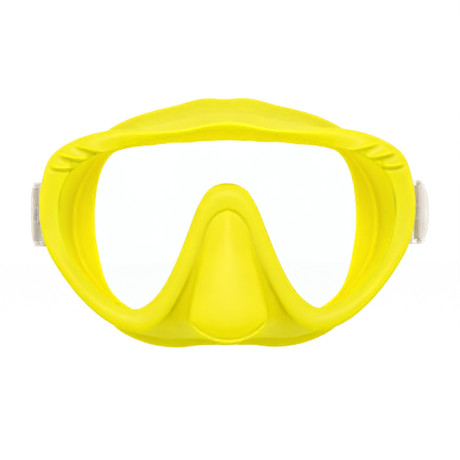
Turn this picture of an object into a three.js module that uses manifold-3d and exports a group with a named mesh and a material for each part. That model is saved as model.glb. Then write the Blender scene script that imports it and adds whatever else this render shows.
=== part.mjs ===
// A frameless diving mask: one moulded silicone skirt that grips a single pane of glass, and a clear
// swivelling strap buckle on each side. Millimetres, +X to the wearer's left, +Z up, +Y towards the face.
// The origin is the middle of the face seal; the glass faces -Y.
import * as THREE from "three";
import { mergeVertices } from "three/addons/utils/BufferGeometryUtils.js";
import Module from "manifold-3d";

const wasm = await Module();
wasm.setup();

// ---------------------------------------------------------------- driving dimensions
const GLASS_TO_SEAL = 45; // front of the glass to the origin, along Y
const GLASS_THICKNESS = 3.6;
const GLASS_GRIP = 2.2; // how far the rim reaches over the edge of the glass
const FIT_GAP = 0.3; // clearance between two pieces that touch

const WALL = 2.4; // silicone wall
const RIM_CREST = 2.9; // how far the rim stands in front of the glass
const RIM_BACK = 6.2; // how far it reaches behind
const FLANGE = 6; // outer lip of the face seal, past the wall
const SEAL_TAPER = 1.2; // half thickness of the face seal at its inner edge
const MASK_CENTRE_Z = 2; // the height that the seal's angles turn about

const BUCKLE_Z = 7.8; // height of both buckles
const SWIVEL_Y = 15.5; // the swivel's axis, behind the front of the glass
const PAD_X = 80.6; // outer face of the moulded pad that carries the buckle
const HINGE_X = 85.6; // fold hinge's axis
const HINGE_Y = 27;
const CHEEK_OUT = 15; // half height of the buckle
const CHEEK = 1.8; // thickness of a buckle's cheek
const STRAP_HALF = 12.9; // half of the width between the cheeks, less a running gap
const PIN_R = 0.8;
const HINGE_PIN_R = 1.1;
const ROLLER = { x: 3, y: 19, r: 2.4 }; // from the fold hinge's axis
const LEVER = { x: 4.2, y: 5.6 }; // the lever's pivot, from the fold hinge's axis
const PANEL_DEPTH = 0.5; // the thumb panel sunk in the lever's back
const FOLD_AT_REST = { left: -8, right: 13 }; // degrees, outwards

// The rim, as pairs of points on the right half, from the brow round to the bridge of the nose: where
// it leaves the glass, and its outer edge. [x, z, x, z]
const RIM_PAIRS = [
  [0, 45.2, 0, 49.5],
  [10, 44.8, 8.5, 48.2],
  [20, 43.2, 19.5, 45.9],
  [34, 41.2, 34, 45.4],
  [47, 37.9, 49.5, 45.6],
  [60, 34.1, 66.4, 41.8],
  [70.5, 27, 79, 33.8],
  [75.3, 18, 83.7, 21],
  [76.4, 8, 84.7, 8.5],
  [74.6, -3.5, 82.3, -5.5],
  [69.5, -15.3, 75.8, -18],
  [61, -26, 66.3, -30.5],
  [51.5, -32.8, 55.9, -39.9],
  [44, -35.8, 46, -44.9],
  [38.2, -35.2, 37, -45.9],
  [32, -29.8, 27.8, -38.8],
  [26.2, -20.5, 19.8, -25.6],
  [21.4, -10, 14, -12.5],
  [17.2, 0.8, 10.9, -3],
  [13, 11.2, 7.2, 4.6],
  [7.4, 19.2, 3.4, 8.2],
  [0, 21.5, 0, 9],
];

// The wall and the face seal, by angle from straight up to straight down. front, rear and open are
// radii from the mask's centre: the wall's start, the seal's outer edge and its inner edge.
// [angle, front, rear, open, frontY, rearY, openY]
const SEAL_STATIONS = [
  [0, 47, 59.8, 39.7, 3, 30, 28],
  [11, 46.6, 61, 40.2, 3, 30.3, 28.2],
  [17, 46.8, 61.2, 41.2, 3, 31, 28.5],
  [24, 47.4, 62, 42.6, 3, 32, 29],
  [34, 51, 65.2, 46.7, 3, 34, 30.5],
  [43, 58, 69.2, 51.6, 3, 37, 32.5],
  [51, 65.5, 72.9, 58.4, 3, 41, 35],
  [57, 71.5, 75.8, 63.4, 3, 46, 38.5],
  [65, 78, 79, 65.2, 3, 51, 42.5],
  [80, 80, 83, 64.2, 3, 58, 48],
  [100, 77, 82, 63.3, 3, 60, 50],
  [120, 68.3, 75, 63.6, 3, 55.5, 46.5],
  [135, 61.5, 72.2, 58.5, 6, 49, 43.5],
  [147, 55.5, 67.8, 53, 18, 44.5, 40.5],
  [158, 53.5, 63, 49, 22, 41, 38.2],
  [168, 51, 58.4, 45.5, 20, 38.5, 37],
  [180, 50.5, 56.6, 43.5, 20, 37, 36],
];

// Five lines down the right half of the nose pocket, from under the bridge to the face seal. The foot is
// the crease beside the pocket's front, the web is the finger well, and the flank lies inside the rim.
// [x, y, z]
const NOSE_RIDGE = [
  [0, 2.5, 12], [0, -1.8, 9.4], [0, -3.8, 5.4], [0, -5.6, 0], [0, -8.6, -10], [0, -11, -21],
  [0, -12.8, -32], [0, -13.6, -39], [0, -13.4, -43.4], [0, -11.8, -47.4], [0, -12.6, -49.4],
  [0, -9, -50.6], [0, 6, -50.9], [0, 26, -51.6],
];
const NOSE_SHOULDER = [
  [2, 2.6, 11.6], [2.4, -1.7, 8.8], [4, -3.3, 4.4], [5.6, -4.6, -0.8], [8.8, -6.9, -10.4],
  [12, -8.9, -21], [14.6, -10.4, -31.6], [15.9, -10.8, -38], [15.3, -10.6, -41], [13.6, -9.8, -44.2],
  [12.2, -10.6, -46], [12.4, -6.8, -47.4], [13.5, 8, -48.6], [15, 27, -50.8],
];
const NOSE_FOOT = [
  [3.6, 2.8, 11], [4.6, -2.2, 7.4], [7.2, -2.5, 3.8], [9.7, -2.7, -1], [12.5, -2.8, -10.4],
  [15.1, -3, -20.8], [17.4, -2.9, -31.2], [18.5, -2.8, -37.8], [18.5, -4.2, -40.4], [18.1, -5, -42],
  [17.4, -5.4, -43], [18, -1, -44.6], [19.5, 11, -46.8], [21.5, 29, -50.6],
];
const NOSE_WEB = [
  [5.2, 3.2, 11.5], [6, -1, 7.6], [9, -0.8, 4], [11.6, -0.6, -1], [14.6, -0.4, -10.6], [18.2, 0, -21],
  [22.2, 1, -31], [25.6, 4.4, -38], [26.5, 8, -41.5], [27, 11, -43], [27.5, 13.5, -44.4],
  [28, 17.5, -46], [29, 24, -48.4], [30.5, 33, -51.2],
];
const NOSE_FLANK = [
  [7.6, 3.6, 12], [8.4, 3, 8], [11, 3, 4.5], [14, 3, -1], [17.4, 3, -11], [22.4, 3.2, -22],
  [28, 4.2, -32], [33, 6.5, -38.6], [36, 9, -42], [38.5, 11, -43.6], [40, 14, -44.8],
  [41, 18, -45.8], [42, 24, -46.6], [43, 34, -48.4],
];

// ---------------------------------------------------------------- materials
const MATERIALS = {
  silicone: { color: 0xf2e600, roughness: 0.55, metalness: 0 },
  glass: { color: 0xf4fafa, roughness: 0.05, metalness: 0, transparent: true, opacity: 0.25 },
  clear: { color: 0xe9e4dc, roughness: 0.15, metalness: 0, transparent: true, opacity: 0.5 },
  acetal: { color: 0xf2f1ec, roughness: 0.4, metalness: 0 },
  steel: { color: 0xc9cbcd, roughness: 0.3, metalness: 1 },
};
const finish = {};
for (const [name, look] of Object.entries(MATERIALS)) finish[name] = new THREE.MeshStandardMaterial(look);

// ---------------------------------------------------------------- helpers
const lerp = THREE.MathUtils.lerp;
const v3 = (x, y, z) => new THREE.Vector3(x, y, z);

// A three.js geometry as a solid that can be cut and joined.
function solid(geometry) {
  const bare = geometry.index ? geometry.toNonIndexed() : geometry.clone();
  bare.deleteAttribute("normal");
  bare.deleteAttribute("uv");
  const merged = mergeVertices(bare, 1e-4);
  return new wasm.Manifold(
    new wasm.Mesh({
      numProp: 3,
      vertProperties: merged.attributes.position.array,
      triVerts: new Uint32Array(merged.index.array),
    }),
  );
}

// A solid back as a geometry, for a mesh.
function shell(made) {
  const { numProp, vertProperties, triVerts, numVert } = made.getMesh();
  const points = new Float32Array(numVert * 3);
  for (let i = 0; i < numVert; i++) points.set(vertProperties.subarray(i * numProp, i * numProp + 3), i * 3);
  const geometry = new THREE.BufferGeometry();
  geometry.setAttribute("position", new THREE.BufferAttribute(points, 3));
  geometry.setIndex(new THREE.BufferAttribute(new Uint32Array(triVerts), 1));
  geometry.computeVertexNormals();
  return geometry;
}

function piece(name, made, look) {
  const mesh = new THREE.Mesh(made instanceof THREE.BufferGeometry ? made : shell(made), finish[look]);
  mesh.name = name;
  return mesh;
}

const box = (x0, x1, y0, y1, z0, z1) =>
  new THREE.BoxGeometry(x1 - x0, y1 - y0, z1 - z0).translate((x0 + x1) / 2, (y0 + y1) / 2, (z0 + z1) / 2);

// A cylinder along Z.
const rod = (x, y, z0, z1, r, sides = 20) =>
  new THREE.CylinderGeometry(r, r, z1 - z0, sides).rotateX(Math.PI / 2).translate(x, y, (z0 + z1) / 2);

// A cylinder along X.
const bar = (x0, x1, y, z, r, sides = 24) =>
  new THREE.CylinderGeometry(r, r, x1 - x0, sides).rotateZ(Math.PI / 2).translate((x0 + x1) / 2, y, z);

// A shape drawn in X and Y, raised from z0 to z1.
const raise = (shape, z0, z1, curveSegments = 8) =>
  new THREE.ExtrudeGeometry(shape, { depth: z1 - z0, bevelEnabled: false, curveSegments }).translate(0, 0, z0);

function roundedRectangle(halfWidth, halfHeight, r) {
  const shape = new THREE.Shape();
  shape.moveTo(-halfWidth + r, -halfHeight);
  shape.lineTo(halfWidth - r, -halfHeight);
  shape.absarc(halfWidth - r, -halfHeight + r, r, -Math.PI / 2, 0);
  shape.lineTo(halfWidth, halfHeight - r);
  shape.absarc(halfWidth - r, halfHeight - r, r, 0, Math.PI / 2);
  shape.lineTo(-halfWidth + r, halfHeight);
  shape.absarc(-halfWidth + r, halfHeight - r, r, Math.PI / 2, Math.PI);
  shape.lineTo(-halfWidth, -halfHeight + r);
  shape.absarc(-halfWidth + r, -halfHeight + r, r, Math.PI, Math.PI * 1.5);
  return shape;
}

// A rounded plate that faces along X.
const sidePlate = (x0, x1, y, z, halfY, halfZ, r) =>
  raise(roundedRectangle(halfY, halfZ, r), x0, x1, 4)
    .rotateY(Math.PI / 2)
    .rotateX(Math.PI / 2)
    .translate(0, y, z);

// A closed solid through rings of points. closed joins the last ring to the first; otherwise each end
// ring is capped across its two halves.
function loft(rings, closed) {
  const across = rings[0].length;
  const faces = [];
  const steps = closed ? rings.length : rings.length - 1;
  for (let i = 0; i < steps; i++) {
    for (let j = 0; j < across; j++) {
      const a = i * across + j;
      const b = i * across + ((j + 1) % across);
      const c = ((i + 1) % rings.length) * across + ((j + 1) % across);
      const d = ((i + 1) % rings.length) * across + j;
      faces.push(a, b, c, a, c, d);
    }
  }
  if (!closed) {
    const last = (rings.length - 1) * across;
    for (let j = 0; j < across / 2 - 1; j++) {
      const k = across - 1 - j;
      faces.push(j, k, k - 1, j, k - 1, j + 1);
      faces.push(last + j, last + k - 1, last + k, last + j, last + j + 1, last + k - 1);
    }
  }
  const geometry = new THREE.BufferGeometry();
  const points = rings.flat().flatMap((p) => [p.x, p.y, p.z]);
  geometry.setAttribute("position", new THREE.Float32BufferAttribute(points, 3));
  geometry.setIndex(faces);
  return geometry;
}

// The loft as a solid, turned face out whichever way its rings run.
function loftSolid(rings, closed) {
  const made = solid(loft(rings, closed));
  return made.volume() > 0 ? made : solid(loft([...rings].reverse(), closed));
}

// ---------------------------------------------------------------- rim and glass
// Both edges of the rim all the way round, as closed curves that share a parameter.
const rimHalf = RIM_PAIRS.map(([x0, z0, x1, z1]) => [v3(x0, 0, z0), v3(x1, 0, z1)]);
const rimLeft = rimHalf.slice(1, -1).reverse().map((pair) => pair.map((p) => v3(-p.x, 0, p.z)));
const rimAll = [...rimHalf, ...rimLeft];
const smoothLoop = (points) => new THREE.CatmullRomCurve3(points, true, "catmullrom", 0.5);
const glassLine = smoothLoop(rimAll.map((pair) => pair[0]));
const rimLine = smoothLoop(rimAll.map((pair) => pair[1]));
const RIM_STEPS = rimAll.length * 1.5;

// One section of the rim: from the lip on the glass over the crest, and back behind the glass.
function rimSection(t) {
  const inner = glassLine.getPoint(t);
  const outwards = rimLine.getPoint(t).sub(inner);
  const width = outwards.length();
  outwards.normalize();
  const byNose = inner.z < 24 ? THREE.MathUtils.clamp((36 - Math.abs(inner.x)) / 8, 0, 1) : 0;
  const outline = [
    [0, 0], [0.3, -0.9], [width * 0.25, -RIM_CREST * 0.8], [width * 0.5, -RIM_CREST],
    [width * 0.8, -RIM_CREST * 0.92], [width, 0.3 - 2.2 * byNose], [width, 3], [width * 0.7, RIM_BACK - 0.2],
    [width * 0.3, RIM_BACK], [0, RIM_BACK - 0.5],
  ];
  return outline.map(([s, y]) => inner.clone().addScaledVector(outwards, s).setY(y));
}

function rimSolid() {
  const rings = [];
  for (let i = 0; i < RIM_STEPS; i++) rings.push(rimSection(i / RIM_STEPS));
  return loftSolid(rings, true);
}

// The glass pane, grown all round by extra.
function glassSolid(extra) {
  const outline = [];
  for (let i = 0; i < RIM_STEPS; i++) {
    const inner = glassLine.getPoint(i / RIM_STEPS);
    const outwards = rimLine.getPoint(i / RIM_STEPS).sub(inner);
    const grip = Math.min(GLASS_GRIP, outwards.length() * 0.5);
    const p = inner.addScaledVector(outwards.normalize(), grip + extra);
    outline.push(new THREE.Vector2(p.x, p.z));
  }
  return solid(raise(new THREE.Shape(outline), -GLASS_THICKNESS - extra, extra).rotateX(Math.PI / 2));
}

// ---------------------------------------------------------------- skirt
// The stations all the way round: those of the left half run back up to straight up again.
const otherHalf = SEAL_STATIONS.slice(1, -1).reverse().map(([angle, ...rest]) => [360 - angle, ...rest]);
const stations = [...SEAL_STATIONS, ...otherHalf];
const around = stations.map(([angle]) => THREE.MathUtils.degToRad(angle));
const sealRadii = smoothLoop(stations.map(([, front, rear, open]) => v3(front, rear, open)));
const sealDepths = smoothLoop(stations.map(([, , , , frontY, rearY, openY]) => v3(frontY, rearY, openY)));
const STEPS_PER_STATION = 2;
const SEAL_STEPS = stations.length * STEPS_PER_STATION;

// One section through the wall and the face seal, as [radius, y], at share t of the way round.
function sealOutline(t) {
  const { x: front, y: rear, z: open } = sealRadii.getPoint(t);
  const { x: frontY, y: rearY, z: openY } = sealDepths.getPoint(t);
  const root = rear - FLANGE;
  const rootY = rearY - 8;
  const faceY = (r) => lerp(openY, rearY, (r - open) / (rear - open)) + SEAL_TAPER;
  const inner = root - WALL;
  return [
    [front, frontY],
    [lerp(front, root, 0.5) + 0.8, lerp(frontY, rootY, 0.5)],
    [root, rootY],
    [rear - 1.4, rearY - 2.2],
    [rear, rearY - 0.2],
    [rear - 0.9, rearY + 0.7],
    [lerp(open, rear, 0.66), faceY(lerp(open, rear, 0.66))],
    [lerp(open, rear, 0.33), faceY(lerp(open, rear, 0.33))],
    [open + 0.6, openY + 0.9],
    [open, openY - 0.2],
    [open + 1.2, openY - 0.9],
    [lerp(open, inner, 0.6), faceY(lerp(open, inner, 0.6)) - 2.4],
    [inner, faceY(inner) - 3.4],
    [lerp(front, root, 0.5) + 0.8 - WALL, lerp(frontY, rootY, 0.5)],
    [front - WALL, frontY],
  ];
}

function wallSolid() {
  const rings = [];
  for (let i = 0; i < SEAL_STEPS; i++) {
    const t = i / SEAL_STEPS;
    const from = Math.floor(i / STEPS_PER_STATION);
    const share = (i % STEPS_PER_STATION) / STEPS_PER_STATION;
    const angle = Math.PI / 2 - lerp(around[from], around[from + 1] ?? 2 * Math.PI, share);
    const place = ([r, y]) => v3(r * Math.cos(angle), y, MASK_CENTRE_Z + r * Math.sin(angle));
    rings.push(sealOutline(t).map(place));
  }
  return loftSolid(rings, true);
}

const NOSE_ROWS = 26;
const NOSE_COLUMNS = 16;
const REACH = 2; // rows and columns either way that decide which way is inwards
const BLEND = 3; // rows either way that inwards is then averaged over

// The nose pocket: a curved sheet across the five guide lines and their mirror images, made WALL thick.
function noseSolid() {
  const guides = [NOSE_FLANK, NOSE_WEB, NOSE_FOOT, NOSE_SHOULDER, NOSE_RIDGE].map(
    (line) => new THREE.CatmullRomCurve3(line.map((p) => v3(...p)), false, "catmullrom", 0.5),
  );
  const sheet = [];
  for (let i = 0; i <= NOSE_ROWS; i++) {
    const half = guides.map((guide) => guide.getPoint(i / NOSE_ROWS));
    const mirrored = half.slice(0, -1).reverse().map((p) => v3(-p.x, p.y, p.z));
    const across = new THREE.CatmullRomCurve3([...half, ...mirrored], false, "catmullrom", 0.5);
    sheet.push(Array.from({ length: NOSE_COLUMNS + 1 }, (_, j) => across.getPoint(j / NOSE_COLUMNS)));
  }
  const inwards = sheet.map((row, i) =>
    row.map((_, j) => {
      const down = sheet[Math.min(i + REACH, NOSE_ROWS)][j].clone().sub(sheet[Math.max(i - REACH, 0)][j]);
      const side = row[Math.min(j + REACH, NOSE_COLUMNS)].clone().sub(row[Math.max(j - REACH, 0)]);
      return down.cross(side).normalize();
    }),
  );
  const behind = sheet.map((row, i) =>
    row.map((p, j) => {
      const mean = v3(0, 0, 0);
      const near = inwards.slice(Math.max(i - BLEND, 0), i + BLEND + 1);
      for (const other of near) mean.add(other[Math.max(j - 1, 0)]).add(other[Math.min(j + 1, NOSE_COLUMNS)]);
      return p.clone().addScaledVector(mean.normalize(), WALL);
    }),
  );
  return loftSolid(sheet.map((row, i) => [...row, ...behind[i].reverse()]), false);
}

// The pads on the skirt's sides, and the plate that is moulded into each.
const pad = solid(sidePlate(76.5, PAD_X, SWIVEL_Y, BUCKLE_Z, 10.5, 10.5, 4));
const anchorCore = (extra) =>
  solid(sidePlate(78.5 - extra, 79.5 + extra, SWIVEL_Y, BUCKLE_Z, 7 + extra, 7 + extra, 2)).add(
    solid(sidePlate(79, 82, SWIVEL_Y, BUCKLE_Z, 4.5 + extra, 4.5 + extra, 2)),
  );
const mirrorX = (made) => made.mirror([1, 0, 0]);

function skirt() {
  const moulded = wallSolid().add(rimSolid()).add(noseSolid()).add(pad).add(mirrorX(pad));
  const plates = anchorCore(FIT_GAP);
  const made = moulded.subtract(glassSolid(FIT_GAP)).subtract(plates).subtract(mirrorX(plates));
  return piece("skirt", made, "silicone");
}

// ---------------------------------------------------------------- buckle, drawn for the right side
const SWIVEL_HOLE_R = 2 + FIT_GAP;
const ANCHOR_X = PAD_X + FIT_GAP; // inner face of the plate outside the pad
const LINK_X = ANCHOR_X + 1.6 + FIT_GAP;
const RIVET_X = LINK_X + 2 + FIT_GAP;

function anchor(side) {
  const plate = solid(sidePlate(ANCHOR_X, ANCHOR_X + 1.6, SWIVEL_Y, BUCKLE_Z, 8, 8, 3));
  const hole = solid(bar(79.6, 90, SWIVEL_Y, BUCKLE_Z, SWIVEL_HOLE_R));
  return piece(`anchor_plate_${side}`, plate.add(anchorCore(0)).subtract(hole), "clear");
}

function rivet(side) {
  const shank = solid(bar(80, RIVET_X + 0.5, SWIVEL_Y, BUCKLE_Z, 2));
  const head = solid(
    new THREE.LatheGeometry(
      [[0, 0], [3.8, 0], [3.8, 0.5], [3.2, 0.9], [0, 1.1]].map(([r, h]) => new THREE.Vector2(r, h)),
      24,
    )
      .rotateZ(-Math.PI / 2)
      .translate(RIVET_X, SWIVEL_Y, BUCKLE_Z),
  );
  return piece(`swivel_rivet_${side}`, shank.add(head), "steel");
}

// The link turns about the rivet and carries the middle knuckle of the fold hinge.
function link(side) {
  const plate = solid(bar(LINK_X, LINK_X + 2, SWIVEL_Y, BUCKLE_Z, 6.5));
  const arm = solid(box(LINK_X, LINK_X + 2, SWIVEL_Y, HINGE_Y, BUCKLE_Z - 4, BUCKLE_Z + 4));
  const knuckle = solid(rod(HINGE_X, HINGE_Y, BUCKLE_Z - 4, BUCKLE_Z + 4, 2.4));
  const hole = solid(bar(LINK_X - 1, LINK_X + 3, SWIVEL_Y, BUCKLE_Z, SWIVEL_HOLE_R));
  const pinHole = solid(rod(HINGE_X, HINGE_Y, BUCKLE_Z - 6, BUCKLE_Z + 6, HINGE_PIN_R + FIT_GAP));
  return piece(`swivel_link_${side}`, plate.add(arm).add(knuckle).subtract(hole).subtract(pinHole), "clear");
}

function hingePin(side) {
  const pin = rod(HINGE_X, HINGE_Y, BUCKLE_Z - CHEEK_OUT + 0.2, BUCKLE_Z + CHEEK_OUT - 0.2, HINGE_PIN_R);
  return piece(`hinge_pin_${side}`, pin, "steel");
}

// From here on, the buckle's pieces are drawn about the fold hinge's axis at the buckle's mid height.
// Their outer face is crowned: it bulges most at mid height. crown is a block to trim a piece to. line
// holds its reach outwards at places along Y, and drop is how far that falls off towards the cheeks.
function crown(line, halfHeight, drop) {
  const places = Array.from({ length: 13 }, (_, i) => i / 6 - 1);
  const rings = line.map(([y, reach]) => [
    v3(-8, y, -halfHeight),
    ...places.map((k) => v3(reach - drop * k ** 4, y, k * halfHeight)),
    v3(-8, y, halfHeight),
  ]);
  return loftSolid(rings, false);
}

// The outline of a cheek from above: an eye round the hinge, swelling to cover the roller.
function cheekShape() {
  const shape = new THREE.Shape();
  shape.absarc(0, 0, 2.7, Math.PI, 1.9 * Math.PI);
  shape.bezierCurveTo(5, 0.4, 6.8, 4, 7.1, 10);
  shape.bezierCurveTo(7.3, 16, 7, 20, 5.9, 24);
  shape.absarc(3.4, 24.5, 2.5, 0, Math.PI / 2);
  shape.lineTo(1, 27);
  shape.absarc(1, 25, 2, Math.PI / 2, Math.PI);
  shape.lineTo(-1.6, 14);
  shape.lineTo(-2.7, 4);
  shape.closePath();
  return shape;
}

function frame(side) {
  const inside = CHEEK_OUT - CHEEK;
  const cheek = (from, to) => solid(raise(cheekShape(), from, to, 5));
  let made = cheek(inside, CHEEK_OUT).add(cheek(-CHEEK_OUT, -inside));
  for (const end of [-1, 1]) {
    const [low, high] = [4.3 * end, (inside + 0.2) * end].sort((a, b) => a - b);
    made = made.add(solid(rod(0, 0, low, high, 2.4)));
    made = made.subtract(solid(rod(ROLLER.x, ROLLER.y, inside * end - 3, inside * end + 3, PIN_R + FIT_GAP)));
    made = made.subtract(solid(rod(LEVER.x, LEVER.y, inside * end - 3, inside * end + 3, PIN_R + FIT_GAP)));
  }
  made = made.add(solid(box(-2.3, -0.9, 2.9, 10.5, -inside - 0.2, inside + 0.2)));
  made = made.add(solid(box(-1.6, 0.2, 23.4, 26.2, -inside - 0.2, inside + 0.2)));
  const joined = solid(box(-2.3, -0.9, 0, 3.2, -inside - 0.2, -4.6)).add(
    solid(box(-2.3, -0.9, 0, 3.2, 4.6, inside + 0.2)),
  );
  made = made.add(joined).intersect(crown([[-5, 7.4], [30, 7.4]], CHEEK_OUT, 2.6));
  made = made.subtract(solid(rod(0, 0, -20, 20, HINGE_PIN_R + FIT_GAP)));
  return piece(`buckle_frame_${side}`, made, "clear");
}

function roller(side) {
  const made = solid(rod(ROLLER.x, ROLLER.y, -STRAP_HALF, STRAP_HALF, ROLLER.r, 28));
  const grooves = [];
  for (let i = 0; i < 14; i++) {
    const a = (i / 14) * 2 * Math.PI;
    const x = ROLLER.x + (ROLLER.r + 0.1) * Math.cos(a);
    const y = ROLLER.y + (ROLLER.r + 0.1) * Math.sin(a);
    grooves.push(solid(rod(x, y, -STRAP_HALF + 1.5, STRAP_HALF - 1.5, 0.3, 6)));
  }
  const cut = grooves.reduce((a, b) => a.add(b), solid(rod(ROLLER.x, ROLLER.y, -14, 14, PIN_R + FIT_GAP, 16)));
  return piece(`strap_roller_${side}`, made.subtract(cut), "acetal");
}

const crossPin = (name, at) =>
  piece(name, rod(at.x, at.y, -CHEEK_OUT + 0.6, CHEEK_OUT - 0.6, PIN_R, 16), "steel");

// The locking lever from above: a curved thumb plate with its pivot's eye under it, and the tooth at
// its rear end that bites the strap against the roller.
function leverShape() {
  const shape = new THREE.Shape();
  shape.absarc(4.7, -1, 0.8, Math.PI, 2 * Math.PI);
  shape.bezierCurveTo(6.4, 1.5, 8.2, 6, 8.4, 10);
  shape.bezierCurveTo(8.4, 12.5, 8.3, 14.5, 7.9, 16);
  shape.lineTo(5.7, 17.4);
  shape.lineTo(5.5, 15.2);
  shape.bezierCurveTo(6.3, 12.5, 6.7, 9, 6.5, 6);
  shape.bezierCurveTo(6, 3, 4.6, 1, 3.9, -1);
  return shape;
}

function lever(side) {
  const half = STRAP_HALF;
  let made = solid(raise(leverShape(), -half, half));
  for (const end of [-1, 1]) {
    const [low, high] = [4 * end, (half - 0.4) * end].sort((a, b) => a - b);
    made = made.add(solid(rod(LEVER.x, LEVER.y, low, high, 1.9)));
    made = made.add(solid(box(LEVER.x, 6.9, LEVER.y - 1.6, LEVER.y + 1.6, low, high)));
  }
  const back = [[-4, 5.5], [-1, 5.5], [1.6, 6.7], [5, 7.9], [10, 8.5], [18, 8.5]];
  made = made.intersect(crown(back, half, 1.3)).intersect(solid(sidePlate(-10, 20, 7.8, 0, 9.6, half, 3)));
  const sunk = crown(back.map(([y, reach]) => [y, reach - PANEL_DEPTH]), half, 1.3);
  made = made.subtract(solid(sidePlate(0, 20, 7.6, 0, 6.6, half - 2.4, 2.4)).subtract(sunk));
  made = made.subtract(solid(rod(LEVER.x, LEVER.y, -20, 20, PIN_R + FIT_GAP, 16)));
  return piece(`locking_lever_${side}`, made, "clear");
}

// The lever's torsion spring: a coil round the lever's pin between the two eyes, with a straight leg
// at each end, one under the lever and one on the frame.
class SpringLine extends THREE.Curve {
  getPoint(t, target = new THREE.Vector3()) {
    const radius = 1.4;
    const turns = 4.3;
    const leg = 0.12; // share of the wire in each leg
    const along = THREE.MathUtils.clamp((t - leg) / (1 - 2 * leg), 0, 1);
    const angle = -0.5 + along * turns * 2 * Math.PI;
    const past = (Math.max(0, t - 1 + leg) - Math.max(0, leg - t)) / leg;
    target.set(
      LEVER.x + radius * Math.cos(angle) - 3 * past * Math.sin(angle),
      LEVER.y + radius * Math.sin(angle) + 3 * past * Math.cos(angle),
      lerp(-2.4, 2.4, along),
    );
    return target;
  }
}

function spring(side) {
  const section = new THREE.Shape().absarc(0, 0, 0.28, 0, 2 * Math.PI);
  const wire = new THREE.ExtrudeGeometry(section, {
    steps: 44,
    curveSegments: 3,
    extrudePath: new SpringLine(),
  });
  return piece(`lever_spring_${side}`, solid(wire), "steel");
}

function buckle(side) {
  const group = new THREE.Group();
  group.add(anchor(side), rivet(side), link(side), hingePin(side));
  const folding = new THREE.Group();
  folding.position.set(HINGE_X, HINGE_Y, BUCKLE_Z);
  folding.rotation.z = -THREE.MathUtils.degToRad(FOLD_AT_REST[side]);
  folding.add(frame(side), roller(side), lever(side), spring(side));
  folding.add(crossPin(`roller_pin_${side}`, ROLLER), crossPin(`lever_pin_${side}`, LEVER));
  group.add(folding);
  if (side === "left") group.scale.x = -1;
  return group;
}

// ---------------------------------------------------------------- the mask
const mask = new THREE.Group();
const body = new THREE.Group();
body.position.y = -GLASS_TO_SEAL;
body.add(skirt(), piece("lens", glassSolid(0), "glass"), buckle("left"), buckle("right"));
mask.add(body);

export default mask;
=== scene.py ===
"""A frameless diving mask in yellow silicone with clear buckles, in a white studio.

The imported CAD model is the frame. The skirt is rebuilt here as one smooth moulding, from guide points
close to those of the CAD model, and the small parts get rounded edges. Guide points and sizes are in
millimetres in the mask's own axes: +X across, +Y back from the front of the glass, +Z up. Lights, the
camera and material depths are in metres.
"""

import math

import bmesh
import bpy
import numpy as np
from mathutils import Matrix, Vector


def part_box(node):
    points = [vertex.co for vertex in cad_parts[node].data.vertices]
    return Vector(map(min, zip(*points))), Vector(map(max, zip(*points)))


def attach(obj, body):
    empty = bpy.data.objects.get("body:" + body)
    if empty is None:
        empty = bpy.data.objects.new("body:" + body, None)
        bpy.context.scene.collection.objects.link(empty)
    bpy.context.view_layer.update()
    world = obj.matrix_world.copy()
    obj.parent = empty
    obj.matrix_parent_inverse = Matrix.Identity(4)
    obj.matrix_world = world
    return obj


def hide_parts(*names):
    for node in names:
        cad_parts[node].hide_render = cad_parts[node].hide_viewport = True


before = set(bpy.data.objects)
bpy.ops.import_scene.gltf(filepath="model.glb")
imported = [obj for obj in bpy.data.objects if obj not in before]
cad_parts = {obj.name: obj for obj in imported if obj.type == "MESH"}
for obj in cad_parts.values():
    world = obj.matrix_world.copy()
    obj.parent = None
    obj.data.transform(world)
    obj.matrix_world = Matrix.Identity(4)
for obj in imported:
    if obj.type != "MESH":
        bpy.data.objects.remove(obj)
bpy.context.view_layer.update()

MM = 0.001
GLASS_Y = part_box("lens")[0].y  # front of the glass, in metres
GLASS_THICKNESS = (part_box("lens")[1].y - GLASS_Y) / MM
SIDES = {"left": -1, "right": 1}

# ------------------------------------------------------------------ camera, light and floor

CAMERA_X = -0.0127  # a little to the left of the mask's middle
CAMERA_SHIFT = 0.067  # brings the mask back to the middle of the frame
CAMERA_ROLL = 0.4  # degrees
CAMERA_TO_RIM = 0.65
CAMERA_LENS = 113.5  # focal length in millimetres
RIM_FRONT_Y = GLASS_Y - 0.002
FLOOR_Z = -0.15


def aim(thing, target):
    direction = Vector(target) - thing.location
    thing.rotation_euler = direction.to_track_quat("-Z", "Y").to_euler()


def add_camera():
    camera = bpy.data.objects.new("camera", bpy.data.cameras.new("camera"))
    bpy.context.scene.collection.objects.link(camera)
    camera.data.lens = CAMERA_LENS
    camera.data.clip_start = 0.01
    camera.location = (CAMERA_X, RIM_FRONT_Y - CAMERA_TO_RIM, 0)
    camera.data.shift_x = CAMERA_SHIFT
    camera.rotation_euler = (math.radians(90), math.radians(CAMERA_ROLL), 0)
    bpy.context.scene.camera = camera


def add_softbox(name, place, size, watts):
    lamp = bpy.data.objects.new(name, bpy.data.lights.new(name, "AREA"))
    bpy.context.scene.collection.objects.link(lamp)
    lamp.data.shape = "RECTANGLE"
    lamp.data.size, lamp.data.size_y = size
    lamp.data.energy = watts
    lamp.location = place
    aim(lamp, (0, 0, 0))


def add_studio():
    scene = bpy.context.scene
    scene.view_settings.view_transform = "Standard"
    world = bpy.data.worlds.new("white_studio")
    world.use_nodes = True
    scene.world = world
    background = world.node_tree.nodes["Background"]
    background.inputs["Color"].default_value = (1, 1, 1, 1)
    background.inputs["Strength"].default_value = 1.01
    add_softbox("front_softbox", (0, -0.95, 0.4), (0.45, 0.4), 4.2)
    bpy.ops.mesh.primitive_circle_add(vertices=96, radius=6, fill_type="NGON", location=(0, 0, FLOOR_Z))
    floor = bpy.context.object
    floor.name = "floor"
    floor.data.materials.append(floor_material())


# ------------------------------------------------------------------ materials

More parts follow.
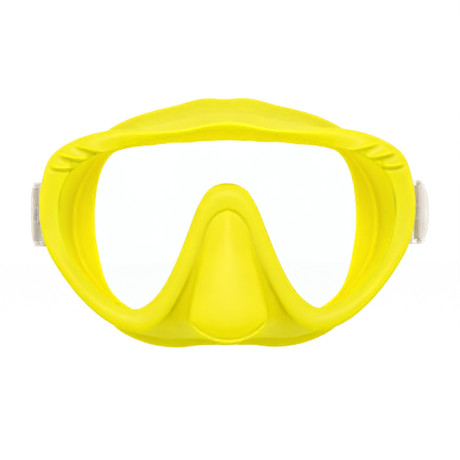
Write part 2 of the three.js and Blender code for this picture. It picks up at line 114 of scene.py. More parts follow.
# The skirt's silicone in two copies. The inside tones are painted light: much brighter than the outside
# ones, standing in for light that does not reach into the mask.
OUTSIDE_TONES = ((0.625, 0.575, 0.0002), (0.65, 0.6, 0.0004))
INSIDE_PAINTED_LIGHT_TONES = ((0.88, 0.745, 0.0002), (0.905, 0.77, 0.0004))
CLEAR_TONES = ((0.88, 0.84, 0.80), (0.94, 0.91, 0.88))
LEVER_TONES = ((0.74, 0.68, 0.61), (0.80, 0.74, 0.67))
SKIRT_DEPTH = 0.045  # from the front of the glass to the wearer's face, in metres
CLOUD_STOPS = (0.3, 0.7)  # where cloudy noise turns from its first tone to its second


def new_material(name):
    material = bpy.data.materials.new(name)
    material.use_nodes = True
    nodes, links = material.node_tree.nodes, material.node_tree.links
    return material, nodes, links, nodes["Principled BSDF"]


def noise(nodes, links, scale, detail):
    """Noise fixed to the object, as a value from 0 to 1."""
    place = nodes.new("ShaderNodeTexCoord")
    texture = nodes.new("ShaderNodeTexNoise")
    texture.inputs["Scale"].default_value = scale
    texture.inputs["Detail"].default_value = detail
    links.new(place.outputs["Object"], texture.inputs["Vector"])
    return texture.outputs["Fac"]


def ramp(nodes, links, source, stops):
    """A colour or grey ramp over source. stops are (position, colour)."""
    blend = nodes.new("ShaderNodeValToRGB")
    links.new(source, blend.inputs["Fac"])
    elements = blend.color_ramp.elements
    for element, (position, colour) in zip(elements, stops):
        element.position = position
        element.color = (*colour, 1) if len(colour) == 3 else (colour[0],) * 3 + (1,)
    return blend.outputs["Color"]


def maths(nodes, links, operation, first, second=None):
    """One step of arithmetic on a shader value, where second is another value or a number."""
    step = nodes.new("ShaderNodeMath")
    step.operation = operation
    links.new(first, step.inputs[0])
    if isinstance(second, (int, float)):
        step.inputs[1].default_value = second
    elif second is not None:
        links.new(second, step.inputs[1])
    return step.outputs["Value"]


def clouded(nodes, links, source, tones):
    """One tone drifting into another with cloudy noise. A tone is a colour or a single grey value."""
    return ramp(nodes, links, source, list(zip(CLOUD_STOPS, tones)))


def facing(nodes):
    """How far a surface is turned away from the eye, for gloss and see-through shares only."""
    edge = nodes.new("ShaderNodeLayerWeight")
    edge.inputs["Blend"].default_value = 0.5
    return edge.outputs["Facing"]


def see_through(nodes, links, tint, share, solid):
    """Lets what lies behind show through in tint, but for the given share of a solid shader."""
    through = nodes.new("ShaderNodeBsdfTransparent")
    links.new(tint, through.inputs["Color"])
    mix = nodes.new("ShaderNodeMixShader")
    links.new(share, mix.inputs["Fac"])
    links.new(through.outputs["BSDF"], mix.inputs[1])
    links.new(solid.outputs["BSDF"], mix.inputs[2])
    links.new(mix.outputs["Shader"], nodes["Material Output"].inputs["Surface"])


def bump(nodes, links, shader, source, strength, distance):
    node = nodes.new("ShaderNodeBump")
    node.inputs["Strength"].default_value = strength
    node.inputs["Distance"].default_value = distance
    links.new(source, node.inputs["Height"])
    links.new(node.outputs["Normal"], shader.inputs["Normal"])


def floor_material():
    """White paper, painted a little greyer round the middle as a shadow under the mask, which also sends
    less light up onto its underside.
    """
    material, nodes, links, shader = new_material("studio_floor")
    place = nodes.new("ShaderNodeTexCoord")
    spread = nodes.new("ShaderNodeVectorMath")
    spread.operation = "LENGTH"
    links.new(place.outputs["Object"], spread.inputs[0])
    # Painted shadow: grey close under the mask, fading to near white further out.
    colour = ramp(nodes, links, spread.outputs["Value"], [(0.1, (0.74,)), (0.26, (0.98,))])
    links.new(colour, shader.inputs["Base Color"])
    shader.inputs["Roughness"].default_value = 0.9
    return material


def silicone_material(name, tones, shine, roughness, depth, at_face):
    """Yellow silicone: translucent, satin outside the mask, and matt inside it and on its underside.

    at_face is its tone at the wearer's face, as a share of its tone at the glass: painted shade, darker
    deeper inside the mask.
    """
    material, nodes, links, shader = new_material(name)
    cloudy = noise(nodes, links, 55, 3)
    place = nodes.new("ShaderNodeTexCoord")
    split = nodes.new("ShaderNodeSeparateXYZ")
    links.new(place.outputs["Object"], split.inputs["Vector"])
    # Painted shade: the tone darkens from the glass back towards the wearer's face.
    behind_glass = maths(nodes, links, "SUBTRACT", split.outputs["Y"], GLASS_Y)
    back = maths(nodes, links, "MULTIPLY", behind_glass, 1 / SKIRT_DEPTH)
    colour = nodes.new("ShaderNodeMixRGB")
    colour.blend_type = "MULTIPLY"
    colour.inputs["Fac"].default_value = 1
    links.new(clouded(nodes, links, cloudy, tones), colour.inputs["Color1"])
    links.new(ramp(nodes, links, back, [(0.1, (1,)), (1, (at_face,))]), colour.inputs["Color2"])
    links.new(colour.outputs["Color"], shader.inputs["Base Color"])
    grain = noise(nodes, links, 900, 2)
    stops = [(0.35, (roughness - 0.05,)), (0.65, (roughness + 0.05,))]
    links.new(ramp(nodes, links, grain, stops), shader.inputs["Roughness"])
    bump(nodes, links, shader, grain, 0.12, 0.0001)
    # Painted shade in the sheen: the specular level fades to none where a surface is seen side-on, and falls
    # to a tenth where it faces down. Only faces turned to the front and up keep their sheen, as if lit from
    # the front and above.
    gloss = ramp(nodes, links, facing(nodes), [(0.1, (shine,)), (0.95, (0,))])
    shape = nodes.new("ShaderNodeNewGeometry")
    tilt = nodes.new("ShaderNodeSeparateXYZ")
    links.new(shape.outputs["Normal"], tilt.inputs["Vector"])
    raised = maths(nodes, links, "ADD", tilt.outputs["Z"], 1)
    above = ramp(nodes, links, maths(nodes, links, "MULTIPLY", raised, 0.5), [(0.3, (0.1,)), (0.55, (1,))])
    links.new(maths(nodes, links, "MULTIPLY", gloss, above), shader.inputs["Specular IOR Level"])
    shader.inputs["Subsurface Weight"].default_value = 1
    shader.inputs["Subsurface Radius"].default_value = (1.0, 0.85, 0.08)
    shader.inputs["Subsurface Scale"].default_value = depth
    shader.inputs["IOR"].default_value = 1.41
    return material


def glass_material():
    """Clear glass with a coating that mirrors little: what is behind it shows straight through."""
    material, nodes, links, shader = new_material("tempered_glass")
    nodes.remove(shader)
    faint = noise(nodes, links, 40, 2)
    tint = clouded(nodes, links, faint, ((0.985, 0.998, 0.993), (0.992, 1.0, 0.998)))
    mirror = nodes.new("ShaderNodeBsdfGlossy")
    mirror.inputs["Roughness"].default_value = 0.02
    share = ramp(nodes, links, facing(nodes), [(0.3, (0.003,)), (0.95, (0.35,))])
    see_through(nodes, links, tint, share, mirror)
    return material


def clear_material(name, tones, body):
    """Clear polycarbonate: see-through where it is flat, and duller along its edges and creases: painted
    shade, a dull tan mixed in where the surface bends sharply.

    body is how much of its own tone a flat face shows.
    """
    material, nodes, links, shader = new_material(name)
    cloudy = noise(nodes, links, 120, 3)
    flat = clouded(nodes, links, cloudy, tones)
    shape = nodes.new("ShaderNodeNewGeometry")
    bend = maths(nodes, links, "ABSOLUTE", maths(nodes, links, "SUBTRACT", shape.outputs["Pointiness"], 0.5))
    # Painted shade: where the surface bends sharply, a dull tan is mixed into its tone and it lets less show
    # through.
    crease = ramp(nodes, links, bend, [(0.008, (0,)), (0.04, (1,))])
    colour = nodes.new("ShaderNodeMixRGB")
    links.new(crease, colour.inputs["Fac"])
    links.new(flat, colour.inputs["Color1"])
    colour.inputs["Color2"].default_value = (0.6, 0.52, 0.44, 1)
    links.new(colour.outputs["Color"], shader.inputs["Base Color"])
    links.new(clouded(nodes, links, cloudy, ((0.05,), (0.14,))), shader.inputs["Roughness"])
    bump(nodes, links, shader, cloudy, 0.05, 0.0003)
    shader.inputs["IOR"].default_value = 1.55
    tint = clouded(nodes, links, cloudy, ((0.985, 0.978, 0.972), (0.995, 0.991, 0.987)))
    faced = ramp(nodes, links, facing(nodes), [(0.1, (body,)), (0.9, (0.5,))])
    crease_shade = maths(nodes, links, "MULTIPLY", crease, 0.5)
    see_through(nodes, links, tint, maths(nodes, links, "MAXIMUM", faced, crease_shade), shader)
    return material


def acetal_material():
    material, nodes, links, shader = new_material("white_acetal")
    cloudy = noise(nodes, links, 300, 3)
    colour = clouded(nodes, links, cloudy, ((0.80, 0.79, 0.75), (0.84, 0.83, 0.80)))
    links.new(colour, shader.inputs["Base Color"])
    links.new(clouded(nodes, links, cloudy, ((0.3,), (0.42,))), shader.inputs["Roughness"])
    bump(nodes, links, shader, cloudy, 0.08, 0.0001)
    return material


def steel_material():
    material, nodes, links, shader = new_material("polished_steel")
    grain = noise(nodes, links, 1500, 2)
    colour = clouded(nodes, links, grain, ((0.60, 0.60, 0.61), (0.72, 0.72, 0.73)))
    links.new(colour, shader.inputs["Base Color"])
    links.new(clouded(nodes, links, grain, ((0.18,), (0.32,))), shader.inputs["Roughness"])
    bump(nodes, links, shader, grain, 0.06, 0.00005)
    shader.inputs["Metallic"].default_value = 1
    return material


# ------------------------------------------------------------------ mesh helpers

RELAX_SHARE = 0.5  # how far smoothing moves a point towards the middle of its neighbours in a step


def catmull_rom(points, shares, closed):
    """Points at shares from 0 to 1 of a smooth curve through the given points."""
    points = np.asarray(points, float)
    count = len(points)
    spans = count if closed else count - 1
    along = np.asarray(shares, float) * spans
    first = np.clip(np.floor(along).astype(int), 0, spans - 1)
    u = (along - first).reshape(-1, *([1] * (points.ndim - 1)))
    if closed:
        a, b, c, d = (points[(first + k) % count] for k in (-1, 0, 1, 2))
    else:
        padded = np.concatenate([[2 * points[0] - points[1]], points, [2 * points[-1] - points[-2]]])
        a, b, c, d = (padded[first + k] for k in (0, 1, 2, 3))
    return b + 0.5 * u * (c - a + u * (2 * a - 5 * b + 4 * c - d + u * (3 * (b - c) + d - a)))


def ring_faces(rings, across):
    """Quads of a tube that closes both ways."""
    i, j = np.meshgrid(np.arange(rings), np.arange(across), indexing="ij")
    nexti, nextj = (i + 1) % rings, (j + 1) % across
    quads = np.stack([i * across + j, i * across + nextj, nexti * across + nextj, nexti * across + j], -1)
    return quads.reshape(-1, 4)


def tube_faces(rings, across):
    """Quads of a tube with open ends."""
    return ring_faces(rings, across)[:(rings - 1) * across].tolist()


def mesh_object(name, points, faces):
    """An object from points in millimetres from the front of the glass."""
    mesh = bpy.data.meshes.new(name)
    placed = np.asarray(points, float) * MM + np.array([0, GLASS_Y, 0])
    mesh.from_pydata(placed.tolist(), [], [list(map(int, f)) for f in faces])
    made = bpy.data.objects.new(name, mesh)
    bpy.context.scene.collection.objects.link(made)
    face_outwards(made)
    return made


def face_outwards(made):
    shape = bmesh.new()
    shape.from_mesh(made.data)
    bmesh.ops.recalc_face_normals(shape, faces=shape.faces)
    if shape.calc_volume(signed=True) < 0:
        bmesh.ops.reverse_faces(shape, faces=shape.faces)
    shape.to_mesh(made.data)
    shape.free()


def apply_modifiers(made):
    """Bakes the modifier stack into the mesh."""
    graph = bpy.context.evaluated_depsgraph_get()
    done = bpy.data.meshes.new_from_object(made.evaluated_get(graph))
    made.modifiers.clear()
    old = made.data
    made.data = done
    bpy.data.meshes.remove(old)


def joined(name, parts):
    for part in parts:
        part.select_set(True)
    bpy.context.view_layer.objects.active = parts[0]
    with bpy.context.temp_override(active_object=parts[0], selected_editable_objects=parts):
        bpy.ops.object.join()
    parts[0].name = name
    parts[0].data.name = name
    return parts[0]


def remeshed(made, voxel, smooth_steps):
    skin = made.modifiers.new("skin", "REMESH")
    skin.mode = "VOXEL"
    skin.voxel_size = voxel
    skin.use_smooth_shade = True
    if smooth_steps:
        soften = made.modifiers.new("soften", "SMOOTH")
        soften.factor = RELAX_SHARE
        soften.iterations = smooth_steps
    apply_modifiers(made)


def cut(made, cutter):
    notch = made.modifiers.new("cut", "BOOLEAN")
    notch.operation = "DIFFERENCE"
    notch.solver = "MANIFOLD"
    notch.object = cutter
    apply_modifiers(made)
    bpy.data.objects.remove(cutter)


def finished(made, body, slot, material, *nodes):
    made.data.materials.clear()
    made.data.materials.append(material)
    for face in made.data.polygons:
        face.use_smooth = True
    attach(made, body)
    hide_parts(*nodes)


# ------------------------------------------------------------------ the skirt's guide points

RIM_CREST = 2.9  # how far the rim stands in front of the glass
RIM_BACK = 6.2
GLASS_GRIP = 2.2  # how far the glass reaches into the rim
GLASS_ROUNDING = 0.4
GROOVE_GAP = 0.05  # between the glass and the groove that holds it
WALL = 2.4  # silicone wall
FLANGE = 6  # how far the face seal's outer edge stands out past the wall
SEAL_TAPER = 1.2
SIDE_FILL = 1.2  # how much thicker the wall is right behind the rim at the temples
FILL_MIDDLE, FILL_SPREAD = 84, 20  # where that is, in degrees from straight up, and how far it spreads
MASK_CENTRE_Z = 2
SWIVEL_Y = 15.5
BUCKLE_Z = 7.8
PAD_ROOT_X, PAD_X = 76.5, 80.6
PAD_HALF, PAD_CORNER = 10.5, 4
BRIDGE_LEDGE = 1.1  # how far the rim's lip is drawn back over the bridge of the nose
BRIDGE_HALF = 9
BRIDGE_FROM_Z, BRIDGE_TO_Z = 10, 30
NOSE_SIDE_X, NOSE_SIDE_FADE, NOSE_SIDE_TOP_Z = 36, 8, 24  # where the rim runs beside the nose
LIP_REACH = 0.8  # what smoothing takes off the rim's thin lip
TEMPLE_HALF = 17  # how far above and below a buckle the rim is flatter
TEMPLE_FROM_X = 60

# The rim on the right half, from the brow round to the bridge of the nose: where it leaves the glass,
# and its outer edge. [x, z, x, z]
RIM_PAIRS = [
    [0, 45.2, 0, 49.5],
    [10, 44.8, 8.5, 48.2],
    [20, 43.2, 19.5, 45.9],
    [34, 41.2, 34, 45.4],
    [47, 37.9, 49.5, 45.6],
    [60, 34.1, 66.4, 41.8],
    [70.5, 27, 79, 33.8],
    [75.3, 18, 83.7, 21],
    [76.4, 8, 84.7, 8.5],
    [74.6, -3.5, 82.3, -5.5],
    [69.5, -15.3, 75.8, -18],
    [61, -26, 66.3, -30.5],
    [51.5, -32.8, 55.9, -39.9],
    [44, -35.8, 46, -44.9],
    [38.2, -35.2, 37, -45.9],
    [32, -29.8, 27.8, -38.8],
    [26.2, -20.5, 19.8, -25.6],
    [21.4, -10, 14, -12.5],
    [17.2, 0.8, 10.9, -3],
    [13, 11.2, 7.2, 4.6],
    [7.4, 19.2, 3.4, 8.2],
    [0, 21.5, 0, 9],
]

# The wall and the face seal, by angle from straight up to straight down: radii from the mask's centre
# of the wall's start, the seal's outer edge and its inner edge, and how far back each of them lies.
# [angle, front, rear, open, front y, rear y, open y]
SEAL_STATIONS = [
    [0, 47, 59.8, 39.7, 3, 30, 28],
    [11, 46.6, 61, 40.2, 3, 30.3, 28.2],
    [17, 46.8, 61.2, 41.2, 3, 31, 28.5],
    [24, 47.4, 62, 42.6, 3, 32, 29],
    [34, 51, 65.2, 46.7, 3, 34, 30.5],
    [43, 58, 69.2, 51.6, 3, 37, 32.5],
    [51, 65.5, 72.9, 58.4, 3, 41, 35],
    [57, 71.5, 75.8, 63.4, 3, 46, 38.5],
    [65, 78, 79, 64.7, 3, 51, 42.5],
    [80, 80, 83, 63.5, 3, 58, 48],
    [100, 77, 82, 62.6, 3, 60, 50],
    [120, 68.3, 75, 63, 3, 55.5, 46.5],
    [135, 61.5, 72.2, 58.5, 6, 49, 43.5],
    [147, 55.5, 67.8, 53, 18, 44.5, 40.5],
    [158, 53.5, 63, 49, 22, 41, 38.2],
    [168, 51, 58.4, 45.5, 20, 38.5, 37],
    [180, 50.5, 57, 43.5, 20, 37, 36],
]

# Five lines down the right half of the nose pocket, from under the bridge to the face seal. The foot is
# the crease beside the pocket's front, the web is the finger well, and the flank lies inside the rim.
# [x, y, z]
NOSE_RIDGE = [
    [0, 2.5, 12], [0, -1.8, 9.4], [0, -3.8, 5.4], [0, -5.6, 0], [0, -8.6, -10], [0, -11, -21],
    [0, -12.8, -32], [0, -13.6, -39], [0, -13.4, -43.4], [0, -11.8, -47.4], [0, -12.6, -49.4],
    [0, -9, -50.6], [0, 6, -50.9], [0, 26, -51.6],
]
NOSE_SHOULDER = [
    [2, 2.6, 11.6], [2.4, -1.7, 8.8], [4, -3.3, 4.4], [5.6, -4.6, -0.8], [8.8, -6.9, -10.4],
    [12, -8.9, -21], [14.6, -10.4, -31.6], [15.9, -10.8, -38], [15.3, -10.6, -41], [13.6, -9.8, -44.2],
    [12.2, -10.6, -46], [12.4, -6.8, -47.4], [13.5, 8, -48.6], [15, 27, -50.8],
]
NOSE_FOOT = [
    [3.6, 2.8, 11], [4.6, -2.2, 7.4], [7.2, -2.5, 3.8], [9.7, -2.7, -1], [12.5, -2.8, -10.4],
    [15.1, -3, -20.8], [17.4, -2.9, -31.2], [18.5, -2.8, -37.8], [18.5, -4.2, -40.4], [18.1, -5, -42],
    [17.4, -5.4, -43], [18, -1, -44.6], [19.5, 11, -46.8], [21.5, 29, -50.6],
]
NOSE_WEB = [
    [5.2, 3.2, 11.5], [6, -1, 7.6], [9, -0.8, 4], [11.6, -0.6, -1], [14.6, -0.4, -10.6], [18.2, 0, -21],
    [22.2, 1, -31], [25.6, 4.4, -38], [26.5, 8, -41.5], [27, 11, -43], [27.5, 13.5, -44.4],
    [28, 17.5, -46], [29, 24, -48.4], [30.5, 33, -51.2],
]
NOSE_FLANK = [
    [7.6, 3.6, 12], [8.4, 3, 8], [11, 3, 4.5], [14, 3, -1], [17.4, 3, -11], [22.4, 3.2, -22],
    [28, 4.2, -32], [33, 6.5, -38.6], [36, 9, -42], [38.5, 11, -43.6], [40, 14, -44.8],
    [41, 18, -45.8], [42, 24, -46.6], [43, 34, -48.4],
]
NOSE_LINES = [NOSE_FLANK, NOSE_WEB, NOSE_FOOT, NOSE_SHOULDER, NOSE_RIDGE]

# The pleats in each upper corner, seen from the front: the foot of each step, from the glass outwards.
# [x, z]
PLEATS = [
    [[47, 36.6], [53, 35.4], [60, 36.2], [69.5, 39]],
    [[61.5, 32.4], [66, 32.3], [70.5, 33.1], [76.5, 35]],
    [[69.2, 28.8], [72.5, 28.2], [75.8, 28.4], [80, 29.6]],
]
PLEAT_RISE = 2.3  # how far forward a pleat's step stands
RELIEF_FADE = 2.2  # how far from a step or a line it has sunk to about a third of its height

# The fine line round the top of the nose pocket, from its apex down one side. [x, z]
POCKET_LINE = [[0, 9], [3.2, 8], [5.6, 6.3], [8.7, 2.2], [11, -4.5], [13.2, -13.4], [15.2, -21]]

# The lip along the bottom of the nose pocket, from its corner to the middle. [x, z]
LIP_LINE = [[17.6, -41], [15.4, -43.4], [12.1, -45.7], [8.8, -47.6], [5.4, -48.8], [0, -49.5]]


# ------------------------------------------------------------------ skirt

RIM_STEPS = 640
SEAL_STEPS = 560
SECTION_STEPS = 96
SKIRT_VOXEL = 0.5
RELAX_STEPS = 10


def rim_edges(steps):
    """The rim's edge on the glass and its outer edge all the way round, as two (steps, 2) arrays of x, z."""
    half = np.array(RIM_PAIRS, float).reshape(-1, 2, 2)
    mirrored = half[1:-1][::-1] * [-1, 1]
    loop = catmull_rom(np.concatenate([half, mirrored]), np.arange(steps) / steps, True)
    return loop[:, 0], loop[:, 1]


def rim_part():
    inner, outer = rim_edges(RIM_STEPS)
    width = np.linalg.norm(outer - inner, axis=1)
    outwards = (outer - inner) / width[:, None]
    rings = []
    for i in range(RIM_STEPS):
        w = width[i]
        x, z = inner[i]
        on_bridge = max(0, 1 - (x / BRIDGE_HALF) ** 2) if BRIDGE_FROM_Z < z < BRIDGE_TO_Z else 0
        lip = BRIDGE_LEDGE * on_bridge
        by_nose = min(1, max(0, (NOSE_SIDE_X - abs(x)) / NOSE_SIDE_FADE)) if z < NOSE_SIDE_TOP_Z else 0
        reach = LIP_REACH * (1 - by_nose)
        flat = math.exp(-(((z - BUCKLE_Z) / TEMPLE_HALF) ** 2)) if abs(x) > TEMPLE_FROM_X else 0
        outline = [
            [0.3, 4.4], [lip - reach * 0.6, 2], [lip - reach, -0.4], [lip, -1],
            [w * 0.2 + lip * 0.6, -RIM_CREST * (0.72 - 0.3 * flat)],
            [w * 0.45, -RIM_CREST * (0.97 - 0.38 * flat)], [w * 0.74, -RIM_CREST * (0.97 - 0.22 * flat)],
            [w - 0.9, -RIM_CREST * (0.58 + 0.34 * by_nose + 0.1 * flat)], [w, 0.3 - 2.2 * by_nose],
            [w, 2], [w - 0.4, 4.4], [w * 0.7, RIM_BACK - 0.2], [w * 0.3, RIM_BACK], [0.3, RIM_BACK - 0.5],
        ]
        section = catmull_rom(outline, np.arange(SECTION_STEPS) / SECTION_STEPS, True)
        across = inner[i] + section[:, :1] * outwards[i]
        rings.append(np.stack([across[:, 0], section[:, 1], across[:, 1]], 1))
    return mesh_object("rim", np.concatenate(rings), ring_faces(RIM_STEPS, SECTION_STEPS))


def seal_outline(front, rear, opening, front_y, rear_y, open_y, fill):
    """A section through the wall and the face seal, as [radius, y]. Fill thickens it behind the rim."""
    root, root_y = rear - FLANGE, rear_y - 8
    inner = root - WALL
    middle, middle_y = (front + root) / 2 + 0.8, (front_y + root_y) / 2

    def face_y(r):
        return open_y + (rear_y - open_y) * (r - opening) / (rear - opening) + SEAL_TAPER

    outer_third, inner_third = opening + 0.66 * (rear - opening), opening + 0.33 * (rear - opening)
    under = opening + 0.6 * (inner - opening)
    return [
        [front, front_y], [middle, middle_y], [root, root_y],
        [rear - 1.4, rear_y - 2.2], [rear, rear_y - 0.2], [rear - 0.9, rear_y + 0.7],
        [outer_third, face_y(outer_third)], [inner_third, face_y(inner_third)],
        [opening + 0.6, open_y + 0.9], [opening, open_y - 0.2], [opening + 1.2, open_y - 0.9],
        [under, face_y(under) - 2.4], [inner, face_y(inner) - 3.4],
        [middle - WALL - 0.4 * fill, middle_y], [front - WALL - fill, front_y],
    ]


def seal_sizes():
    """The seal's stations all the way round, evenly filled in: angles in degrees, and the sizes there."""
    half = np.array(SEAL_STATIONS, float)
    other = half[1:-1][::-1].copy()
    other[:, 0] = 360 - other[:, 0]
    stations = np.concatenate([half, other])
    shares = np.arange(SEAL_STEPS) / SEAL_STEPS
    knots = np.append(stations[:, 0], 360)
    degrees = np.interp(shares * len(stations), np.arange(len(knots)), knots)
    return degrees, catmull_rom(stations[:, 1:], shares, True)


def wall_part():
    degrees, sizes = seal_sizes()
    angles = np.pi / 2 - np.radians(degrees)
    rings = []
    for size, turn, angle in zip(sizes, degrees, angles):
        fill = SIDE_FILL * math.exp(-(((min(turn, 360 - turn) - FILL_MIDDLE) / FILL_SPREAD) ** 2))
        section = catmull_rom(seal_outline(*size, fill), np.arange(SECTION_STEPS) / SECTION_STEPS, True)
        radius, y = section[:, 0], section[:, 1]
        rings.append(np.stack([radius * math.cos(angle), y, MASK_CENTRE_Z + radius * math.sin(angle)], 1))
    return mesh_object("wall", np.concatenate(rings), ring_faces(SEAL_STEPS, SECTION_STEPS))


def spread(sheet, axis, reach):
    """The step from reach places before each point of the sheet to reach places after it, along an axis."""
    places = np.arange(sheet.shape[axis])
    after, before = np.minimum(places + reach, places[-1]), np.maximum(places - reach, 0)
    return np.take(sheet, after, axis) - np.take(sheet, before, axis)


def nose_part(rows=120, columns=160):
    down = np.linspace(0, 1, rows)
    guides = [catmull_rom(line, down, False) for line in NOSE_LINES]
    mirrored = [guide * [-1, 1, 1] for guide in reversed(guides[:-1])]
    across = np.stack(guides + mirrored)
    sheet = catmull_rom(across, np.linspace(0, 1, columns), False).transpose(1, 0, 2)
    normal = np.cross(spread(sheet, 0, rows // 12), spread(sheet, 1, columns // 10))
    normal /= np.linalg.norm(normal, axis=2, keepdims=True)
    behind = sheet + normal * WALL
    rings = np.concatenate([sheet, behind[:, ::-1]], axis=1)
    count = columns * 2
    faces = tube_faces(rows, count)
    for start in (0, (rows - 1) * count):
        for j in range(columns - 1):
            faces.append([start + j, start + j + 1, start + count - 2 - j, start + count - 1 - j])
    return mesh_object("nose", rings.reshape(-1, 3), faces)


def pane(grown, name, round_over=0.0):
    """An M-shaped pane, grown all round, with its edges rounded over if round_over is given."""
    inner, outer = rim_edges(RIM_STEPS)
    width = np.linalg.norm(outer - inner, axis=1, keepdims=True)
    edge = inner + (outer - inner) / width * (np.minimum(GLASS_GRIP, width * 0.5) + grown)
    tangent = np.roll(edge, -1, 0) - np.roll(edge, 1, 0)
    inwards = np.stack([tangent[:, 1], -tangent[:, 0]], 1)
    inwards /= np.linalg.norm(inwards, axis=1, keepdims=True)
    if np.sum(inwards * edge) > 0:
        inwards = -inwards
    front, back = -grown, GLASS_THICKNESS + grown
    if round_over:
        arc = np.linspace(0, np.pi / 2, 5)
        section = [(round_over * (1 - math.sin(a)), front + round_over * (1 - math.cos(a))) for a in arc]
        section += [(inset, front + back - y) for inset, y in reversed(section)]
    else:
        section = [(0, front), (0, back)]
    points = [np.stack([(edge + inwards * s)[:, 0], np.full(RIM_STEPS, y), (edge + inwards * s)[:, 1]], 1)
              for s, y in section]
    last = (len(section) - 1) * RIM_STEPS
    faces = tube_faces(len(section), RIM_STEPS)
    faces.append(list(range(RIM_STEPS)))
    faces.append([last + j for j in reversed(range(RIM_STEPS))])
    return mesh_object(name, np.concatenate(points), faces)


def pad_part(sign):
    """The moulded pad that carries a buckle: a rounded plate on the skirt's side."""
    straight = PAD_HALF - PAD_CORNER
    outline = []
    for quarter, (cy, cz) in enumerate([(1, 1), (-1, 1), (-1, -1), (1, -1)]):
        for a in np.linspace(quarter * np.pi / 2, (quarter + 1) * np.pi / 2, 7):
            along, up = PAD_CORNER * math.cos(a), PAD_CORNER * math.sin(a)
            outline.append((cy * straight + along, cz * straight + up))
    count = len(outline)
    points = [(sign * x, SWIVEL_Y + y, BUCKLE_Z + z) for x in (PAD_ROOT_X, PAD_X) for y, z in outline]
    faces = tube_faces(2, count) + [list(range(count)), list(range(count, 2 * count))]
    return mesh_object("pad", points, faces)


def relax(points, edges, steps):
    """Moves every point towards the middle of its neighbours."""
    count = len(points)
    neighbours = np.bincount(edges.ravel(), minlength=count)[:, None]
    for _ in range(steps):
        total = np.empty_like(points)
        for axis in range(3):
            there = np.bincount(edges[:, 0], points[edges[:, 1], axis], count)
            back = np.bincount(edges[:, 1], points[edges[:, 0], axis], count)
            total[:, axis] = there + back
        points += RELAX_SHARE * (total / neighbours - points)
    return points


def distance_to(path, flat):
    """Distance from flat points to a path, which side of it they are on, and how far along they lie."""
    best = np.full(len(flat), np.inf)
    side = np.zeros(len(flat))
    along = np.zeros(len(flat))
    for k in range(len(path) - 1):
        start, step = path[k], path[k + 1] - path[k]
        share = np.clip((flat - start) @ step / (step @ step), 0, 1)
        away = flat - start - share[:, None] * step
        distance = np.hypot(away[:, 0], away[:, 1])
        nearer = distance < best
        best[nearer] = distance[nearer]
        side[nearer] = np.sign(step[0] * away[:, 1] - step[1] * away[:, 0])[nearer]
        along[nearer] = ((k + share) / (len(path) - 1))[nearer]
    return best, side, along


def smooth_step(value, low, high):
    share = np.clip((value - low) / (high - low), 0, 1)
    return share * share * (3 - 2 * share)


def ridge(distance, width):
    """A bell-shaped ridge of height 1."""
    return np.exp(-((distance / width) ** 2))


def front_relief(points):
    """How far the pleats and the fine lines stand forward of the smooth skirt, at each point."""
    flat = np.stack([np.abs(points[:, 0]), points[:, 2]], 1)
    relief = np.zeros(len(points))
    for corners in PLEATS:
        distance, side, along = distance_to(catmull_rom(corners, np.linspace(0, 1, 24), False), flat)
        over = np.exp(-distance / RELIEF_FADE)
        under = ridge(distance, 0.6) - 0.45 * ridge(distance - 1.3, 0.8)
        ends = smooth_step(along, 0, 0.12) * (1 - smooth_step(along, 0.7, 1))
        relief += PLEAT_RISE * ends * np.where(side > 0, over, under)
    distance, side, along = distance_to(catmull_rom(POCKET_LINE, np.linspace(0, 1, 48), False), flat)
    inside = np.where(side < 0, np.exp(-distance / RELIEF_FADE), 0)
    crease = 0.5 * inside - 0.9 * ridge(distance, 0.45)
    relief += crease * (1 - smooth_step(along, 0.2, 0.9))
    distance, side, along = distance_to(catmull_rom(LIP_LINE, np.linspace(0, 1, 32), False), flat)
    below = np.where(side < 0, 0.9, 0.2)
    lip = 0.4 * ridge(distance, 0.55) - below * ridge(distance - 1.1, 0.5)
    relief += lip * smooth_step(along, 0, 0.15)
    return relief


def moulded(skirt):
    """Relaxes the joined skirt into one smooth moulding, then adds its pleats and fine lines."""
    mesh = skirt.data
    points = np.empty(len(mesh.vertices) * 3)
    mesh.vertices.foreach_get("co", points)
    edges = np.empty(len(mesh.edges) * 2, int)
    mesh.edges.foreach_get("vertices", edges)
    points = relax(points.reshape(-1, 3), edges.reshape(-1, 2), RELAX_STEPS)
    mesh.vertices.foreach_set("co", points.ravel())
    mesh.update()
    normals = np.empty(len(points) * 3)
    mesh.vertices.foreach_get("normal", normals)
    local = (points - [0, GLASS_Y, 0]) / MM
    facing = smooth_step(-normals.reshape(-1, 3)[:, 1], 0.1, 0.5) * (local[:, 1] < 3)
    points[:, 1] -= front_relief(local) * facing * MM
    mesh.vertices.foreach_set("co", points.ravel())
    mesh.update()


def mark_inside(skirt, material):
    """Gives the faces that look into the mask or at the wearer the second material, whose brighter tones are
    painted light.
    """
    mesh = skirt.data
    mesh.materials.append(material)
    normals = np.empty(len(mesh.polygons) * 3)
    mesh.polygons.foreach_get("normal", normals)
    centres = np.empty(len(mesh.polygons) * 3)
    mesh.polygons.foreach_get("center", centres)
    normals = normals.reshape(-1, 3)
    centres = (centres.reshape(-1, 3) - [0, GLASS_Y, 0]) / MM
    x, y, z = centres[:, 0], centres[:, 1], centres[:, 2] - MASK_CENTRE_Z
    angle = np.degrees(np.arctan2(np.abs(x), z))
    degrees, sizes = seal_sizes()
    front, rear, _, front_y, rear_y, _ = (np.interp(angle, degrees, column) for column in sizes.T)
    share = np.clip((y - front_y) / (rear_y - 8 - front_y), 0, 1)
    wall_radius = front + share * (rear - FLANGE - front) - 0.4 * WALL
    inwards = normals[:, 0] * x + normals[:, 2] * z < 0
    within = np.where(y > front_y + 1, np.hypot(x, z) < wall_radius, inwards)
    inside = (y > GLASS_THICKNESS) & (within | (normals[:, 1] > 0.3))
    mesh.polygons.foreach_set("material_index", inside.astype(np.int32))


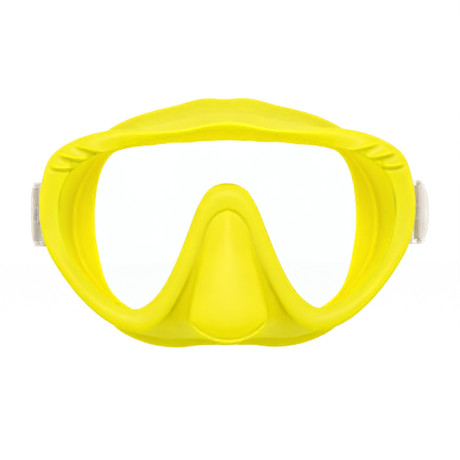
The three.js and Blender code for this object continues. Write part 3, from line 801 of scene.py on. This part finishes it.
def add_skirt(satin, matt):
    parts = [wall_part(), rim_part(), nose_part()] + [pad_part(sign) for sign in SIDES.values()]
    skirt = joined("silicone_skirt", parts)
    remeshed(skirt, SKIRT_VOXEL * MM, 0)
    moulded(skirt)
    cut(skirt, pane(GROOVE_GAP, "glass_groove"))
    finished(skirt, "mask", "silicone", satin, "skirt")
    mark_inside(skirt, matt)


def add_lens(material):
    lens = pane(0, "glass_lens", GLASS_ROUNDING)
    finished(lens, "mask", "glass", material, "lens")
    for face in lens.data.polygons:
        face.use_smooth = len(face.vertices) < 5


# ------------------------------------------------------------------ buckles

HINGE_X, HINGE_Y = 85.6, 27
FOLD_AT_REST = {"left": -8, "right": 13}  # degrees, outwards
BUCKLE_VOXEL = 0.25
BUCKLE_SMOOTH_STEPS = 3
THUMB_FACE = 5.8  # how far out from the fold hinge a lever starts to round off: past frame and roller
LEVER_HALF = 12.9  # half the height of a lever
LEVER_ROUNDING = 0.85  # how much of its thumb face a lever loses at its ends
LEVER_CURVE = 2.6  # how late along its height that sets in


def softened(node):
    """A copy of a CAD node with its edges rounded."""
    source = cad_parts[node]
    made = bpy.data.objects.new(f"soft_{node}", source.data.copy())
    bpy.context.scene.collection.objects.link(made)
    remeshed(made, BUCKLE_VOXEL * MM, BUCKLE_SMOOTH_STEPS)
    return made


def round_lever(made, side):
    """Rounds a lever's thumb face off towards the cheeks, and leaves what lies by the roller alone."""
    turn = math.radians(FOLD_AT_REST[side])
    for vertex in made.data.vertices:
        x, y, z = vertex.co / MM
        out_x, out_y = SIDES[side] * x - HINGE_X, y - GLASS_Y / MM - HINGE_Y
        outwards = out_x * math.cos(turn) - out_y * math.sin(turn)
        height = min(1, abs(z - BUCKLE_Z) / LEVER_HALF)
        inwards = max(0, outwards - THUMB_FACE) * LEVER_ROUNDING * height ** LEVER_CURVE
        vertex.co.x -= SIDES[side] * inwards * math.cos(turn) * MM
        vertex.co.y += inwards * math.sin(turn) * MM


def add_buckle(side, clear, lever, acetal, steel):
    soft = {
        "anchor_plate": ("mask", "clear", clear),
        "swivel_link": (f"link_{side}", "clear", clear),
        "buckle_frame": (f"buckle_{side}", "clear", clear),
        "locking_lever": (f"lever_{side}", "clear", lever),
        "strap_roller": (f"roller_{side}", "acetal", acetal),
    }
    for part, (body, slot, material) in soft.items():
        node = f"{part}_{side}"
        made = softened(node)
        if part == "locking_lever":
            round_lever(made, side)
        finished(made, body, slot, material, node)
    for part in ("swivel_rivet", "hinge_pin", "roller_pin", "lever_pin", "lever_spring"):
        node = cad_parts[f"{part}_{side}"]
        node.data.materials.clear()
        node.data.materials.append(steel)


# ------------------------------------------------------------------ build

add_camera()
add_studio()
satin = silicone_material("satin_silicone", OUTSIDE_TONES, 0.25, 0.36, 0.0045, 1)
# The inside copy: painted light in its brighter tones, and painted shade that darkens it towards the
# wearer's face.
matt = silicone_material("matt_painted_light_silicone", INSIDE_PAINTED_LIGHT_TONES, 0.015, 0.8, 0.009, 0.95)
add_skirt(satin, matt)
add_lens(glass_material())
clear = clear_material("clear_polycarbonate", CLEAR_TONES, 0.08)
lever = clear_material("lever_polycarbonate", LEVER_TONES, 0.3)
acetal, steel = acetal_material(), steel_material()
for side in SIDES:
    add_buckle(side, clear, lever, acetal, steel)
